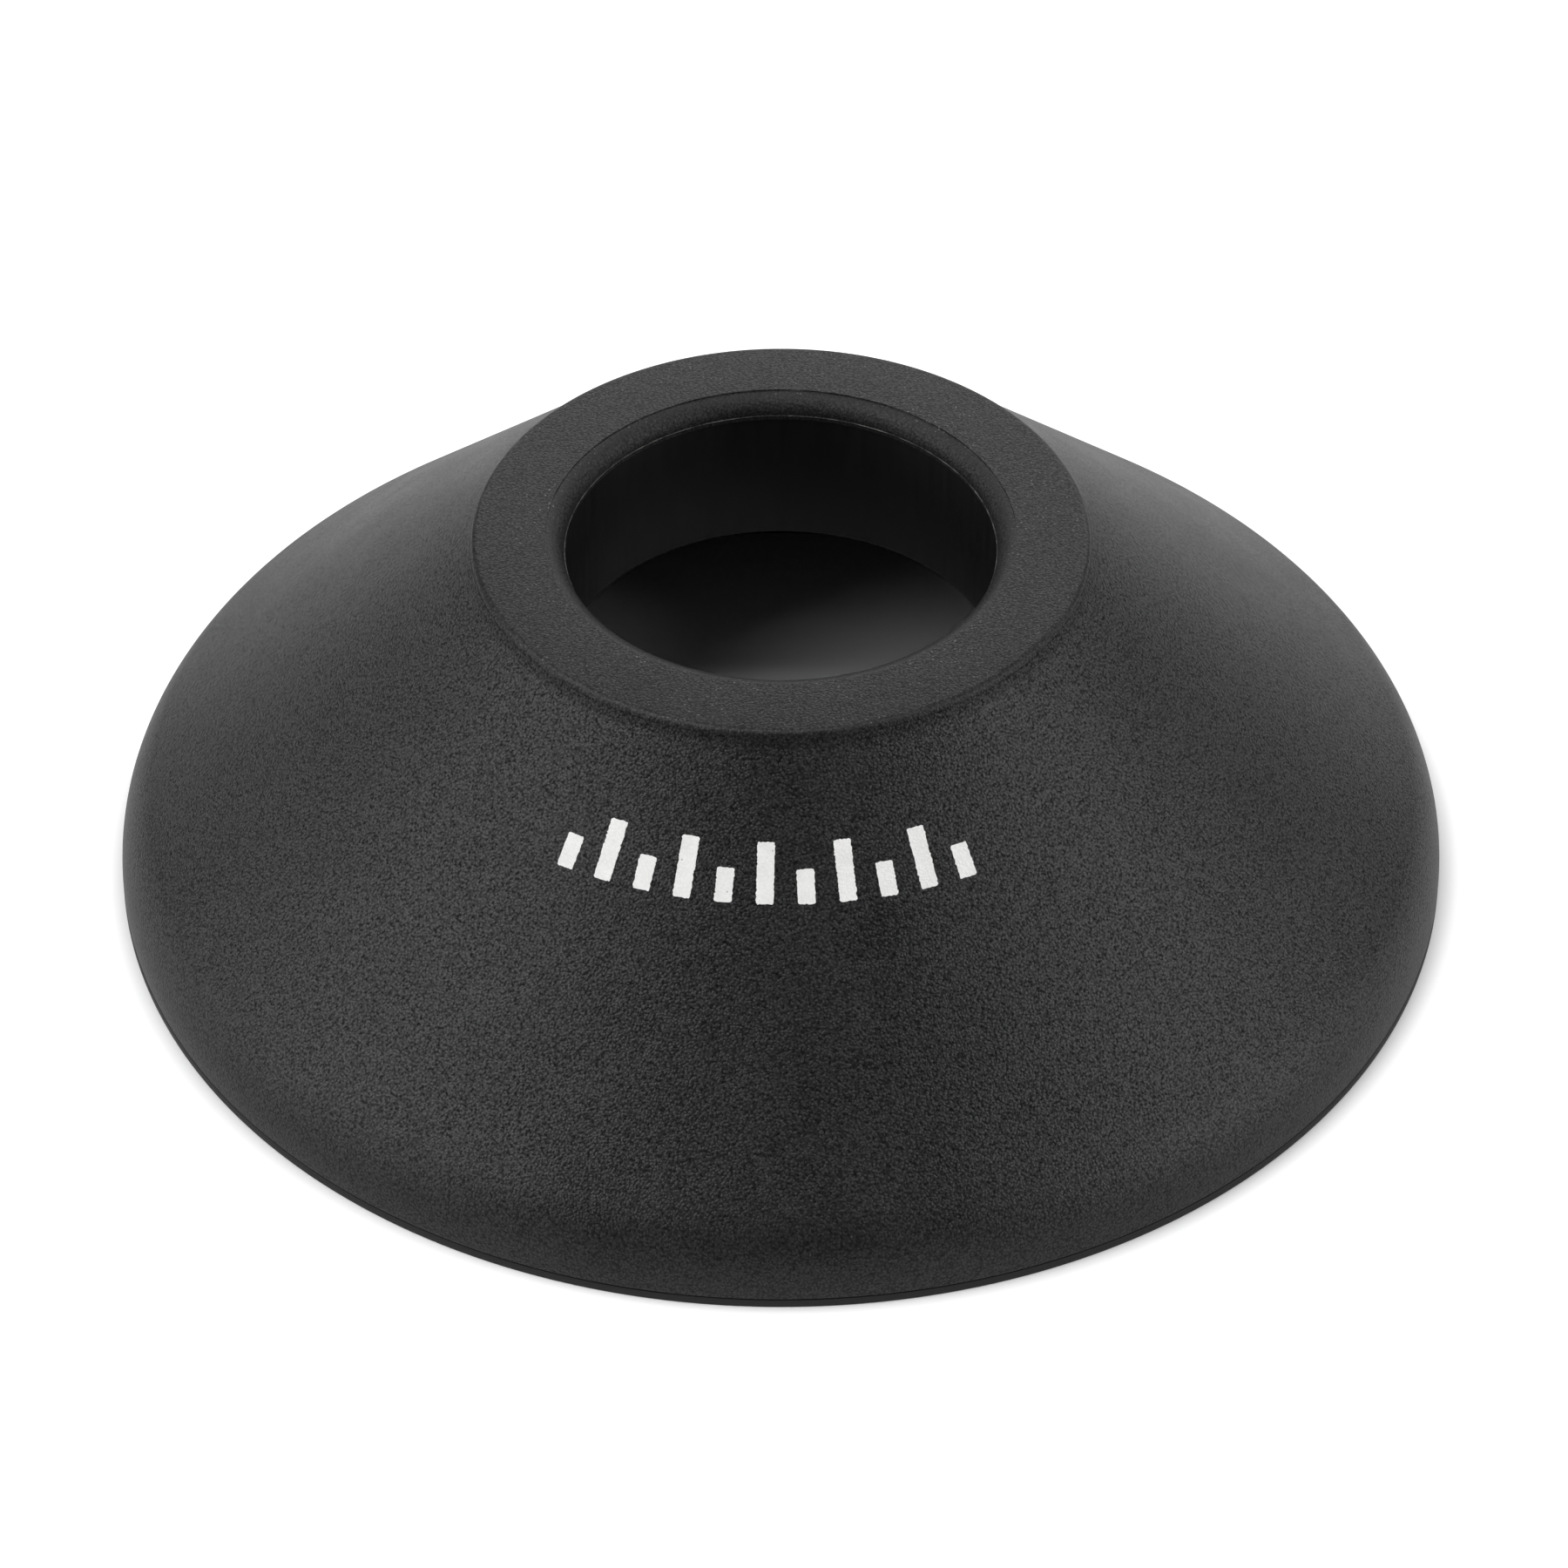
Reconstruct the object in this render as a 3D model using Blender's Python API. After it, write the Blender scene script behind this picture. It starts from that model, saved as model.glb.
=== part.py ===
"""Squat conical snoot for a round lamp head: a soft outer cone, a lined throat and a magnetic ring.

Frame: origin at the centre of the foot circle, on the plane that the snoot stands on.
+Z runs up the axis to the narrow end, and -Y is the front. Units are metres.
"""
from math import asin, cos, degrees, pi, radians, sin, tan

import bmesh
import bpy

MM = 0.001

# Outer cone
FOOT_RADIUS = 42.0 * MM
HEIGHT = 25.2 * MM
FLANK_SLOPE = radians(42.4)
SHOULDER_RADIUS = 6.2 * MM
SHOULDER_CENTER_Z = 1.0 * MM
RIM_RADIUS = 19.17 * MM
WALL = 2.2 * MM
FACE_THICKNESS = 2.4 * MM
RIM_EDGE = 0.15 * MM

# Throat
THROAT_RADIUS = 13.38 * MM
MOUTH_ROUND = 1.15 * MM
LIP_THICKNESS = 0.35 * MM
THROAT_END_Z = 14.45 * MM
SLEEVE_SETBACK = 0.15 * MM
SLEEVE_WALL = 1.5 * MM
SLEEVE_FLANGE = 1.2 * MM
COLLAR_WALL = 2.0 * MM

# Magnetic ring in the wide end
RING_EDGE_HEIGHT = 0.85 * MM
RING_WALL_RADIUS = 39.4 * MM
RING_SEAT_Z = 3.2 * MM
RING_CHAMFER = 0.4 * MM
APERTURE_RADIUS = 31.0 * MM
SOCKET_RADIUS = 38.5 * MM
SOCKET_DEPTH = 0.4 * MM
INNER_LIP_WALL = 1.3 * MM
INNER_LIP_TOP_Z = 4.5 * MM
SNAP_DEPTH = 0.4 * MM
SNAP_HALF_HEIGHT = 0.45 * MM
RING_SNAP_Z = 2.0 * MM
SLEEVE_SNAP_Z = 21.6 * MM

# Magnets, keeper and cover
MAGNET_COUNT = 12
MAGNET_RADIUS = 2.5 * MM
MAGNET_THICKNESS = 2.0 * MM
MAGNET_PITCH_RADIUS = 35.0 * MM
MAGNET_CHAMFER = 0.15 * MM
POCKET_FLOOR_Z = 1.0 * MM
CUTTER_OVERRUN = 1.0 * MM
KEEPER_THICKNESS = 0.6 * MM
KEEPER_OUTER_RADIUS = 37.2 * MM
COVER_THICKNESS = 0.5 * MM
COVER_OUTER_RADIUS = 36.5 * MM

GAP = 0.3 * MM
TURN_STEPS = 72
MAGNET_SIDES = 20
CIRCLE = 2.0 * pi


def remove_scene_objects():
    for item in list(bpy.data.objects):
        bpy.data.objects.remove(item, do_unlink=True)


def make_material(name, color, roughness, metallic=0.0):
    material = bpy.data.materials.new(name)
    material.use_nodes = True
    shader = material.node_tree.nodes["Principled BSDF"]
    shader.inputs["Base Color"].default_value = (*color, 1.0)
    shader.inputs["Roughness"].default_value = roughness
    shader.inputs["Metallic"].default_value = metallic
    material.diffuse_color = (*color, 1.0)
    return material


def arc(center_r, center_z, radius, start_deg, end_deg, steps):
    """Points (radius, height) along an arc; 0 degrees points outwards and 90 degrees up."""
    points = []
    for step in range(steps + 1):
        angle = radians(start_deg + (end_deg - start_deg) * step / steps)
        points.append((center_r + radius * cos(angle), center_z + radius * sin(angle)))
    return points


def snap_points(wall_radius, middle_z, depth):
    """A rounded bead or groove on a wall, from its upper end to its lower end."""
    return [
        (wall_radius, middle_z + SNAP_HALF_HEIGHT),
        (wall_radius + depth, middle_z + SNAP_HALF_HEIGHT / 3),
        (wall_radius + depth, middle_z - SNAP_HALF_HEIGHT / 3),
        (wall_radius, middle_z - SNAP_HALF_HEIGHT),
    ]


def turned(name, profile, material):
    """A ring turned about Z from a closed profile that runs down its outer side."""
    mesh = bpy.data.meshes.new(name)
    corners = [(r, 0.0, z) for r, z in profile]
    edges = [(i, (i + 1) % len(profile)) for i in range(len(profile))]
    mesh.from_pydata(corners, edges, [])
    item = bpy.data.objects.new(name, mesh)
    bpy.context.collection.objects.link(item)
    mesh.materials.append(material)
    screw = item.modifiers.new("turn", "SCREW")
    screw.axis = "Z"
    screw.angle = CIRCLE
    screw.steps = TURN_STEPS
    screw.render_steps = TURN_STEPS
    screw.use_merge_vertices = True
    screw.merge_threshold = 0.00001
    screw.use_smooth_shade = True
    return item


def foot_z():
    """Underside of the soft cone, a gap above the ring's visible edge."""
    return RING_EDGE_HEIGHT + GAP


def shoulder_end():
    """Point where the rounded shoulder runs into the straight flank."""
    turn = pi / 2 - FLANK_SLOPE
    center_r = FOOT_RADIUS - SHOULDER_RADIUS
    return center_r + SHOULDER_RADIUS * cos(turn), SHOULDER_CENTER_Z + SHOULDER_RADIUS * sin(turn)


def flank_z(radius, depth=0.0):
    """Height of the flank at a radius, or of a surface that far beneath it."""
    end_r, end_z = shoulder_end()
    return end_z + (end_r - radius) * tan(FLANK_SLOPE) - depth / cos(FLANK_SLOPE)


def flank_radius(height, depth=0.0):
    end_r, end_z = shoulder_end()
    return end_r - (height + depth / cos(FLANK_SLOPE) - end_z) / tan(FLANK_SLOPE)


def lip_z():
    """Underside of the lip that hides the top of the sleeve."""
    return HEIGHT - MOUTH_ROUND - LIP_THICKNESS


def sleeve_outer_radius():
    return THROAT_RADIUS + SLEEVE_SETBACK + SLEEVE_WALL


def cone_outer_profile():
    """From the mouth's round over the face and down the flank to the foot."""
    rim = RIM_RADIUS
    points = arc(THROAT_RADIUS + MOUTH_ROUND, HEIGHT - MOUTH_ROUND, MOUTH_ROUND, 180, 90, 5)
    points += [(rim - RIM_EDGE, HEIGHT), (rim, HEIGHT - RIM_EDGE), (rim, flank_z(rim))]
    flank_turn = 90 - degrees(FLANK_SLOPE)
    foot_turn = degrees(asin((foot_z() - SHOULDER_CENTER_Z) / SHOULDER_RADIUS))
    points += arc(FOOT_RADIUS - SHOULDER_RADIUS, SHOULDER_CENTER_Z, SHOULDER_RADIUS,
                  flank_turn, foot_turn, 7)
    return points


def cone_inner_profile():
    """From the foot up inside the flank, round the collar and up to the lip."""
    seat_r = RING_WALL_RADIUS + GAP
    seat_z = RING_SEAT_Z + GAP
    collar_in = sleeve_outer_radius() + GAP
    collar_out = collar_in + COLLAR_WALL
    face_z = HEIGHT - FACE_THICKNESS
    collar_end = THROAT_END_Z + SLEEVE_FLANGE + GAP
    points = [(seat_r, foot_z())]
    points += reversed(snap_points(seat_r, RING_SNAP_Z, SNAP_DEPTH))
    points += [(seat_r, seat_z), (flank_radius(seat_z, WALL), seat_z)]
    points += [(flank_radius(face_z, WALL), face_z), (collar_out, face_z)]
    points += [(collar_out, collar_end), (collar_in, collar_end)]
    points += reversed(snap_points(collar_in, SLEEVE_SNAP_Z, SNAP_DEPTH))
    points += [(collar_in, lip_z()), (THROAT_RADIUS, lip_z())]
    return points


def make_cone(material):
    return turned("outer_cone", cone_outer_profile() + cone_inner_profile(), material)


def make_sleeve(material):
    inner = THROAT_RADIUS + SLEEVE_SETBACK
    outer = sleeve_outer_radius()
    flange = outer + GAP + COLLAR_WALL
    top = lip_z() - GAP
    profile = [(inner, top), (outer, top)]
    profile += snap_points(outer, SLEEVE_SNAP_Z, SNAP_DEPTH)
    profile += [(outer, THROAT_END_Z + SLEEVE_FLANGE), (flange, THROAT_END_Z + SLEEVE_FLANGE)]
    profile += [(flange, THROAT_END_Z), (inner, THROAT_END_Z)]
    return turned("throat_sleeve", profile, material)


def magnet_base_z():
    return POCKET_FLOOR_Z + GAP


def carrier_top_z():
    """Face of the ring that the magnet pockets open on."""
    return magnet_base_z() + MAGNET_THICKNESS + GAP


def inner_lip_radius():
    return APERTURE_RADIUS + INNER_LIP_WALL


def magnet_places():
    """Angles of the magnets about the axis, the first one beside the front."""
    return [CIRCLE * (index + 0.5) / MAGNET_COUNT for index in range(MAGNET_COUNT)]


def mount_ring_profile():
    lip = inner_lip_radius()
    top = carrier_top_z()
    shoulder = RING_WALL_RADIUS - 2 * RING_CHAMFER
    profile = [(APERTURE_RADIUS, INNER_LIP_TOP_Z), (lip, INNER_LIP_TOP_Z), (lip, top)]
    profile += [(shoulder - RING_CHAMFER, top), (shoulder, RING_SEAT_Z)]
    profile += [(RING_WALL_RADIUS, RING_SEAT_Z)]
    profile += snap_points(RING_WALL_RADIUS, RING_SNAP_Z, SNAP_DEPTH)
    profile += [(RING_WALL_RADIUS, RING_EDGE_HEIGHT), (FOOT_RADIUS, RING_EDGE_HEIGHT)]
    profile += [(FOOT_RADIUS, 0.0), (SOCKET_RADIUS, 0.0)]
    profile += [(SOCKET_RADIUS, SOCKET_DEPTH), (APERTURE_RADIUS, SOCKET_DEPTH)]
    return profile


def make_pocket_cutter():
    """One mesh with a cylinder for each pocket, which cuts the ring and isn't part of it."""
    bm = bmesh.new()
    depth = carrier_top_z() - POCKET_FLOOR_Z + CUTTER_OVERRUN
    for angle in magnet_places():
        made = bmesh.ops.create_cone(
            bm, cap_ends=True, segments=MAGNET_SIDES, depth=depth,
            radius1=MAGNET_RADIUS + GAP, radius2=MAGNET_RADIUS + GAP)
        place = (MAGNET_PITCH_RADIUS * sin(angle), -MAGNET_PITCH_RADIUS * cos(angle),
                 POCKET_FLOOR_Z + depth / 2)
        bmesh.ops.translate(bm, verts=made["verts"], vec=place)
    mesh = bpy.data.meshes.new("pocket_cutter")
    bm.to_mesh(mesh)
    bm.free()
    cutter = bpy.data.objects.new("pocket_cutter", mesh)
    bpy.context.collection.objects.link(cutter)
    cutter.hide_render = True
    cutter.display_type = "WIRE"
    return cutter


def make_mount_ring(material):
    ring = turned("mount_ring", mount_ring_profile(), material)
    cut = ring.modifiers.new("magnet_pockets", "BOOLEAN")
    cut.operation = "DIFFERENCE"
    cut.solver = "EXACT"
    cut.object = make_pocket_cutter()
    return ring


def magnet_mesh(material):
    """A disc with chamfered edges, standing on its origin."""
    bm = bmesh.new()
    made = bmesh.ops.create_cone(
        bm, cap_ends=True, segments=MAGNET_SIDES, depth=MAGNET_THICKNESS,
        radius1=MAGNET_RADIUS, radius2=MAGNET_RADIUS)
    bmesh.ops.translate(bm, verts=made["verts"], vec=(0.0, 0.0, MAGNET_THICKNESS / 2))
    rims = [edge for edge in bm.edges if len({round(v.co.z, 6) for v in edge.verts}) == 1]
    bmesh.ops.bevel(bm, geom=rims, offset=MAGNET_CHAMFER, segments=1, affect="EDGES")
    mesh = bpy.data.meshes.new("magnet")
    bm.to_mesh(mesh)
    bm.free()
    mesh.materials.append(material)
    return mesh


def make_magnets(material):
    mesh = magnet_mesh(material)
    for index, angle in enumerate(magnet_places()):
        magnet = bpy.data.objects.new(f"magnet_{index + 1:02d}", mesh)
        bpy.context.collection.objects.link(magnet)
        magnet.location = (MAGNET_PITCH_RADIUS * sin(angle), -MAGNET_PITCH_RADIUS * cos(angle),
                           magnet_base_z())
        magnet.rotation_euler = (0.0, 0.0, angle)


def flat_ring(name, inner, outer, bottom, thickness, material):
    top = bottom + thickness
    profile = [(inner, top), (outer, top), (outer, bottom), (inner, bottom)]
    return turned(name, profile, material)


def make_keeper(material):
    inner = inner_lip_radius() + GAP
    bottom = carrier_top_z() + GAP
    return flat_ring("steel_keeper", inner, KEEPER_OUTER_RADIUS, bottom, KEEPER_THICKNESS, material)


def make_cover(material):
    bottom = carrier_top_z() + GAP + KEEPER_THICKNESS + GAP
    return flat_ring("ring_cover", APERTURE_RADIUS, COVER_OUTER_RADIUS, bottom, COVER_THICKNESS,
                     material)


def main():
    remove_scene_objects()
    silicone = make_material("grained_silicone", (0.030, 0.030, 0.032), 0.62)
    liner = make_material("smooth_liner", (0.008, 0.008, 0.009), 0.45)
    nylon = make_material("moulded_nylon", (0.038, 0.038, 0.040), 0.55)
    nickel = make_material("nickel_plate", (0.62, 0.60, 0.57), 0.22, 1.0)
    steel = make_material("keeper_steel", (0.50, 0.50, 0.51), 0.38, 1.0)
    make_cone(silicone)
    make_sleeve(liner)
    make_mount_ring(nylon)
    make_magnets(nickel)
    make_keeper(steel)
    make_cover(nylon)


main()
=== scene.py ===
"""Finished pieces, materials, light and camera for a squat conical snoot.

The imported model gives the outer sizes. Each turned piece is made again with smooth rounds and finer edges,
in the place of its plain solid. The magnets and the steel ring keep their solids and get real finishes.
"""
from math import asin, ceil, cos, degrees, pi, radians, sin, tan

import bmesh
import bpy
from bpy.props import FloatProperty, IntProperty, PointerProperty, StringProperty
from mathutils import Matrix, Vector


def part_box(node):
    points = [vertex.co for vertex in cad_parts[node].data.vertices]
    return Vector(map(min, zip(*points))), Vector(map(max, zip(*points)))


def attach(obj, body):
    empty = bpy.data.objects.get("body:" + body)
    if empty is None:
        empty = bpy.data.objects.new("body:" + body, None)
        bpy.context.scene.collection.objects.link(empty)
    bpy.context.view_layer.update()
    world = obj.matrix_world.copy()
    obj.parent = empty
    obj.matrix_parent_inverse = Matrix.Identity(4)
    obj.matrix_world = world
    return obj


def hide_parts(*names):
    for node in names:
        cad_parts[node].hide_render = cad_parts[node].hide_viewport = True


bl_info = {
    "name": "Snoot Finisher",
    "version": (1, 0, 0),
    "blender": (4, 5, 0),
    "location": "View3D > Sidebar > Snoot",
    "description": "Builds the finished pieces, materials, light and camera of a conical snoot",
    "category": "Object",
}

MM = 0.001
BODY = "root"
SMOOTH_ANGLE = radians(32)

# Spark-eroded grain: distance between pebbles, of the roughness that breaks them up, and their height.
GRAIN_PITCH = 0.17 * MM
GRAIN_FINE = 0.135 * MM
GRAIN_DEPTH = 0.03 * MM

# Each softbox: name, azimuth and elevation in degrees, half width and half height over the distance to
# the snoot, and brightness.
LIGHT_REACH = 2.5
SOFTBOXES = (
    ("softbox_left", -80, 35.4, 0.68, 0.67, 1.66),
    ("softbox_right", 77, 25.6, 0.51, 0.42, 2.18),
    ("softbox_back", 169, 29.2, 0.68, 0.19, 2.15),
    ("softbox_top", -89, 80.6, 0.31, 0.71, 1.76),
)

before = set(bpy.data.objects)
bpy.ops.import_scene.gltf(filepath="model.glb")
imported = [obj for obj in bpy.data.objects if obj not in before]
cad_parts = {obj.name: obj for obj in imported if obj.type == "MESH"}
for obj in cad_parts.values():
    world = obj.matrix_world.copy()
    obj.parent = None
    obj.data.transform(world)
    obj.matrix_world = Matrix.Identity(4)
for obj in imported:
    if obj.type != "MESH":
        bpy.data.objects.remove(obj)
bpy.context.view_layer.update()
CONE_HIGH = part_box("outer_cone")[1]
SLEEVE_LOW, SLEEVE_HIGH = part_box("throat_sleeve")
RING_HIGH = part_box("mount_ring")[1]
KEEPER_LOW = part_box("steel_keeper")[0]
COVER_LOW, COVER_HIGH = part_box("ring_cover")
MAGNETS = sorted(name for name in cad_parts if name.startswith("magnet_"))


# Sizes and colours -----------------------------------------------------------------------------------


def length(name, description, default):
    return FloatProperty(name=name, description=description, default=default, min=0.0,
                         unit="LENGTH", subtype="DISTANCE", precision=5)


def angle(name, description, default):
    return FloatProperty(name=name, description=description, default=default, subtype="ANGLE")


def finish(name, description, default):
    return StringProperty(name=name, description=description + ", as an sRGB hex value", default=default)


class SnootConeSizes(bpy.types.PropertyGroup):
    """Sizes of the soft cone"""
    foot_radius: length("Foot radius", "Outer radius of the wide end", CONE_HIGH.x)
    height: length("Height", "Height of the flat face at the narrow end", CONE_HIGH.z)
    flank_slope: angle("Flank slope", "Rise of the straight flank above the horizon", radians(42.4))
    shoulder_radius: length("Shoulder radius", "Round between flank and foot", 6.2 * MM)
    shoulder_center_z: length("Shoulder centre", "Height of that round's centre", 1.0 * MM)
    rim_radius: length("Rim radius", "Outer radius of the flat face", 19.17 * MM)
    rim_edge: length("Rim edge", "Round on the flat face's outer edge", 0.52 * MM)
    rim_foot: length("Rim foot", "Hollow round where the step meets the flank", 0.42 * MM)
    wall: length("Wall", "Thickness of the flank", 2.2 * MM)
    face_thickness: length("Face thickness", "Thickness behind the flat face", 2.4 * MM)
    mouth_round: length("Mouth round", "Round from the flat face into the throat", 1.15 * MM)
    throat_radius: length("Throat radius", "Radius of the throat at its lip", 13.38 * MM)
    lip: length("Lip", "Depth of the lip over the liner", 0.35 * MM)
    riser_width: length("Riser width", "Width of the low riser round the mouth", 0.015 * MM)
    riser_height: length("Riser height", "Height of that riser", 0.07 * MM)
    flash: length("Flash", "Width of the thin moulding flash on the lip", 0.07 * MM)
    seam: length("Foot seam", "Open seam between cone and mounting ring", 0.04 * MM)
    seam_edge: length("Seam edge", "Round on the cone's edges at that seam", 0.08 * MM)
    collar_wall: length("Collar wall", "Thickness of the collar round the liner", 2.0 * MM)
    collar_edge: length("Collar edge", "Round on the collar's free end", 0.25 * MM)
    sides: IntProperty(name="Sides", description="Steps round each turned piece", default=384, min=24)


class SnootRingSizes(bpy.types.PropertyGroup):
    """Sizes of the hard ring in the wide end"""
    edge_top_z: length("Edge top", "Height of the ring's visible edge", 0.58 * MM)
    wall_radius: length("Wall radius", "Radius of the wall that enters the cone", 39.4 * MM)
    seat_z: length("Seat", "Height of that wall", 3.2 * MM)
    chamfer: length("Chamfer", "Chamfer beside the wall's top", 0.4 * MM)
    socket_radius: length("Socket radius", "Radius of the shallow socket for the head", 38.5 * MM)
    socket_depth: length("Socket depth", "Depth of that socket", 0.4 * MM)
    inner_lip: length("Inner lip", "Wall of the lip inside the steel ring", 1.3 * MM)
    edge_round: length("Edge round", "Round on the ring's inner edges", 0.15 * MM)
    rim_round: length("Rim round", "Round on the ring's outer edges", 0.08 * MM)
    socket_round: length("Socket round", "Hollow round inside the socket", 0.06 * MM)
    snap_depth: length("Snap depth", "Height of the snap beads", 0.4 * MM)
    snap_half: length("Snap half height", "Half the height of the snap beads", 0.45 * MM)
    snap_z: length("Ring bead", "Height of the bead on the ring", 2.0 * MM)
    sleeve_snap_z: length("Liner bead", "Height of the bead on the liner", 21.6 * MM)
    magnet_radius: length("Magnet radius", "Radius of a magnet", 2.5 * MM)
    pocket_floor_z: length("Pocket floor", "Height of the magnet pockets' floor", 1.0 * MM)
    pocket_spare: length("Pocket spare", "How far the pocket cutter reaches past the ring", 1.0 * MM)
    clearance: length("Clearance", "Room between pieces that fit into each other", 0.3 * MM)
    cover_width: length("Cover width", "Width of the flat cover over the steel ring", 5.5 * MM)
    cover_round: length("Cover round", "Round on the cover's edges", 0.12 * MM)


class SnootLinerSizes(bpy.types.PropertyGroup):
    """Sizes of the smooth liner in the throat"""
    wall: length("Wall", "Thickness of the liner", 1.5 * MM)
    flange: length("Flange", "Thickness of the flange at its lower end", 1.2 * MM)
    flange_round: length("Flange round", "Round on the flange's edges", 0.2 * MM)
    top_gap: length("Top gap", "Room under the lip of the cone", 0.05 * MM)
    top_round: length("Top round", "Round on the liner's upper edges", 0.1 * MM)


class SnootPrintSizes(bpy.types.PropertyGroup):
    """Sizes of the printed index scale"""
    inner_radius: length("Inner radius", "Radius where the long marks start", 23.6 * MM)
    outer_radius: length("Outer radius", "Radius where all marks end", 26.35 * MM)
    stroke: length("Stroke", "Width of a mark", 1.05 * MM)
    short_share: FloatProperty(name="Short mark", description="Its length, as a share of a long mark's",
                               default=0.56, min=0.1, max=1.0)
    pitch: angle("Pitch", "Angle between two marks about the axis", radians(5.45))
    middle: angle("Middle", "Angle of the scale's middle from the front", radians(-2.1))
    marks_each_side: IntProperty(name="Marks each side", description="Marks on each side of the middle one",
                                 default=5, min=1)
    ink: length("Ink", "Height of the ink over the surface", 0.025 * MM)
    ragged: length("Ragged edge", "How far the ink's edge wanders over the grain", 0.055 * MM)
    corner: length("Corner", "Round on a mark's corners", 0.12 * MM)
    wander: length("Wander", "Length over which the ink's edge runs straight", 0.11 * MM)


class SnootFinishes(bpy.types.PropertyGroup):
    """Colours of the finishes"""
    silicone: finish("Silicone", "Body colour of the soft cone", "#1e1e1f")
    # The same pale colour also paints the highlight on the flash at the lip and on the riser.
    silicone_dust_and_highlight: finish("Dust", "Colour of the fine dust that the grain holds", "#8f8d88")
    liner: finish("Liner", "Colour of the smooth throat", "#0d0d0e")
    nylon: finish("Nylon", "Colour of the mounting ring and its cover", "#202021")
    ink: finish("Ink", "Colour of the printed marks", "#f1f1ef")
    nickel: finish("Nickel", "Colour of the magnets' plating", "#cfcac1")
    steel: finish("Steel", "Colour of the steel ring", "#a9a9ab")
    floor: finish("Floor", "Colour of the studio floor", "#fafafa")
    floor_shade: finish("Floor bounce", "Colour of the light that the floor throws on the snoot", "#e4e4e4")


class SnootStudio(bpy.types.PropertyGroup):
    """Camera and light"""
    distance: length("Camera distance", "From the camera to the point it looks at", 420.0 * MM)
    elevation: angle("Camera elevation", "Height of the camera above the horizon", radians(40.72))
    aim_z: length("Aim height", "Height on the axis that the camera looks at", 4.78 * MM)
    lens: FloatProperty(name="Lens", description="Focal length for the full sensor width, in millimetres",
                        default=151.6, min=10.0)
    shift_x: FloatProperty(name="Shift", description="Sideways shift of the view", default=0.002)
    sky: FloatProperty(name="Sky", description="Brightness of the white surround to the camera", default=1.0)
    fill: FloatProperty(name="Fill", description="Brightness of the dim surround that fills the shade",
                        default=0.09, min=0.0)
    floor_side: length("Floor", "Side of the square floor", 6.0)


# Modelling helpers -----------------------------------------------------------------------------------


def object_mode():
    if bpy.context.mode != "OBJECT":
        bpy.ops.object.mode_set(mode="OBJECT")


def deselect_all():
    object_mode()
    bpy.ops.object.select_all(action="DESELECT")


def make_active(item):
    deselect_all()
    item.select_set(True)
    bpy.context.view_layer.objects.active = item


def named(name):
    """Names the object that an operator has just added, and its mesh."""
    item = bpy.context.object
    item.name = name
    item.data.name = name
    return item


def arc(center_r, center_z, radius, start_deg, end_deg, steps):
    """Corners (radius, height) along an arc; 0 degrees points outwards and 90 degrees up."""
    turns = [radians(start_deg + (end_deg - start_deg) * step / steps) for step in range(steps + 1)]
    return [(center_r + radius * cos(turn), center_z + radius * sin(turn)) for turn in turns]


def select_loops(item, corners):
    """Selects, in edit mode, each edge loop that runs round the axis through one of the corners."""
    near = 0.002 * MM
    work = bmesh.from_edit_mesh(item.data)
    for face in work.faces:
        face.select = False
    for edge in work.edges:
        first, second = edge.verts
        r, z = first.co.to_2d().length, first.co.z
        level = abs(second.co.z - z) < near and abs(second.co.to_2d().length - r) < near
        edge.select = level and any(abs(r - c[0]) < near and abs(z - c[1]) < near for c in corners)
    work.select_flush_mode()
    bmesh.update_edit_mesh(item.data)


def turned(name, corners, sides, rounds=()):
    """Turns a closed outline: a circle is extruded and scaled from corner to corner, then bridged shut.

    rounds holds (width, steps, corners) for the edges that are rounded afterwards.
    """
    deselect_all()
    first_r, first_z = corners[0]
    bpy.ops.mesh.primitive_circle_add(vertices=sides, radius=first_r, location=(0.0, 0.0, first_z))
    item = named(name)
    bpy.ops.object.transform_apply(location=True)
    bpy.ops.object.mode_set(mode="EDIT")
    bpy.ops.mesh.select_mode(type="EDGE")
    bpy.ops.mesh.select_all(action="SELECT")
    for (old_r, old_z), (new_r, new_z) in zip(corners, corners[1:]):
        bpy.ops.mesh.extrude_edges_move(TRANSFORM_OT_translate={"value": (0.0, 0.0, new_z - old_z)})
        scale = new_r / old_r
        bpy.ops.transform.resize(value=(scale, scale, 1.0), center_override=(0.0, 0.0, new_z))
    select_loops(item, [corners[0], corners[-1]])
    bpy.ops.mesh.bridge_edge_loops()
    for width, steps, places in rounds:
        select_loops(item, places)
        bpy.ops.mesh.bevel(offset=width, segments=steps, affect="EDGES", clamp_overlap=True)
    bpy.ops.mesh.select_all(action="SELECT")
    bpy.ops.mesh.normals_make_consistent(inside=False)
    bpy.ops.object.mode_set(mode="OBJECT")
    bpy.ops.object.shade_smooth_by_angle(angle=SMOOTH_ANGLE)
    return item


def place_piece(item, material, nodes=()):
    """Gives a finished piece its material and its body, and hides the solids that it stands for."""
    item.data.materials.clear()
    item.data.materials.append(material)
    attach(item, BODY)
    if nodes:
        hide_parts(*nodes)


# Outlines --------------------------------------------------------------------------------------------


def flank_z(cone, radius, depth=0.0):
    """Height of the straight flank at a radius, or of a surface that far beneath it."""
    turn = pi / 2 - cone.flank_slope
    end_r = cone.foot_radius - cone.shoulder_radius + cone.shoulder_radius * cos(turn)
    end_z = cone.shoulder_center_z + cone.shoulder_radius * sin(turn)
    return end_z + (end_r - radius) * tan(cone.flank_slope) - depth / cos(cone.flank_slope)


def flank_radius(cone, height, depth=0.0):
    """Radius at which the flank, or the surface that far beneath it, has a height."""
    return (flank_z(cone, 0.0, depth) - height) / tan(cone.flank_slope)


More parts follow.
